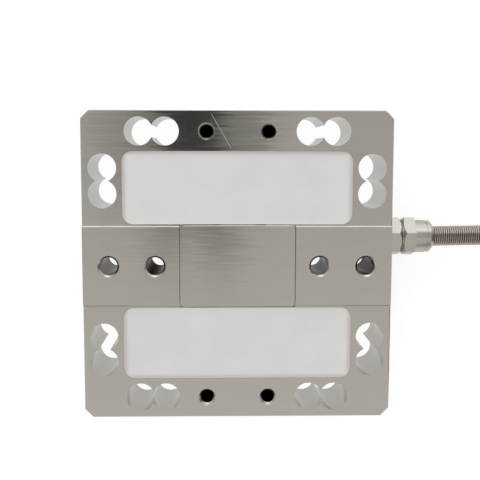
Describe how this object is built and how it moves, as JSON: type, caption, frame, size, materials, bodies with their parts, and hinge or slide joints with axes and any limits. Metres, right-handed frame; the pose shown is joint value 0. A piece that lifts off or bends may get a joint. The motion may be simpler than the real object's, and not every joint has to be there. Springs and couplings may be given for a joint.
{
  "type": "multi-axis force sensor",
  "caption": "Square plate-shaped multi-axis force sensor: monobloc steel flexure body, potted windows, cable gland with spring sleeve, coiled cable and plug.",
  "frame": {"origin": "middle of the back face, on the raised base pads, where the sensor rests", "axes": "+Z out of the front face, +X towards the cable gland, +Y towards the gland's side of the middle line"},
  "size_m": [0.2788, 0.1424, 0.03],
  "materials": {
    "machined_steel": "satin, machined and ground",
    "cover_steel": "satin",
    "white_silicone": "matte",
    "circuit_board": "satin",
    "resistor_ceramic": "matte",
    "nickel_plated_brass": "satin, nickel plated",
    "black_rubber": "matte",
    "polyamide": "matte",
    "spring_steel": "satin",
    "wire_insulation": "satin",
    "cable_jacket": "matte",
    "gold_contact": "polished",
    "gauge_foil": "satin",
    "terminal_strip": "satin"
  },
  "bodies": {
    "root": {"sensor_body": "machined_steel", "terminal_cover": "cover_steel", "upper_potting": "white_silicone", "lower_potting": "white_silicone", "terminal_board": "circuit_board", "trim_resistors": "resistor_ceramic", "gland_body": "nickel_plated_brass", "gland_nut": "nickel_plated_brass", "gland_gasket": "black_rubber", "gland_seal": "black_rubber", "gland_claw": "polyamide", "spring_sleeve": "spring_steel", "cable_core": "wire_insulation", "cable_lead": "cable_jacket", "cable_coil": "cable_jacket", "plug_boot": "black_rubber", "plug_shell": "nickel_plated_brass", "plug_ring": "nickel_plated_brass", "plug_insert": "polyamide", "plug_pins": "gold_contact", "gauge_top_left_1": "gauge_foil", "gauge_top_left_2": "gauge_foil", "gauge_top_left_shear": "gauge_foil", "gauge_top_right_1": "gauge_foil", "gauge_top_right_2": "gauge_foil", "gauge_top_right_shear": "gauge_foil", "gauge_bottom_left_1": "gauge_foil", "gauge_bottom_left_2": "gauge_foil", "gauge_bottom_left_shear": "gauge_foil", "gauge_bottom_right_1": "gauge_foil", "gauge_bottom_right_2": "gauge_foil", "gauge_bottom_right_shear": "gauge_foil", "gauge_left_upper_1": "gauge_foil", "gauge_left_upper_2": "gauge_foil", "gauge_left_upper_shear": "gauge_foil", "gauge_left_lower_1": "gauge_foil", "gauge_left_lower_2": "gauge_foil", "gauge_left_lower_shear": "gauge_foil", "gauge_right_upper_1": "gauge_foil", "gauge_right_upper_2": "gauge_foil", "gauge_right_upper_shear": "gauge_foil", "gauge_right_lower_1": "gauge_foil", "gauge_right_lower_2": "gauge_foil", "gauge_right_lower_shear": "gauge_foil", "terminals_top_left": "terminal_strip", "terminals_top_right": "terminal_strip", "terminals_bottom_left": "terminal_strip", "terminals_bottom_right": "terminal_strip", "terminals_left_upper": "terminal_strip", "terminals_left_lower": "terminal_strip", "terminals_right_upper": "terminal_strip", "terminals_right_lower": "terminal_strip", "ribbon_upper_left": "wire_insulation", "ribbon_upper_right": "wire_insulation", "ribbon_lower_left": "wire_insulation", "ribbon_lower_right": "wire_insulation"}
  },
  "joints": []
}
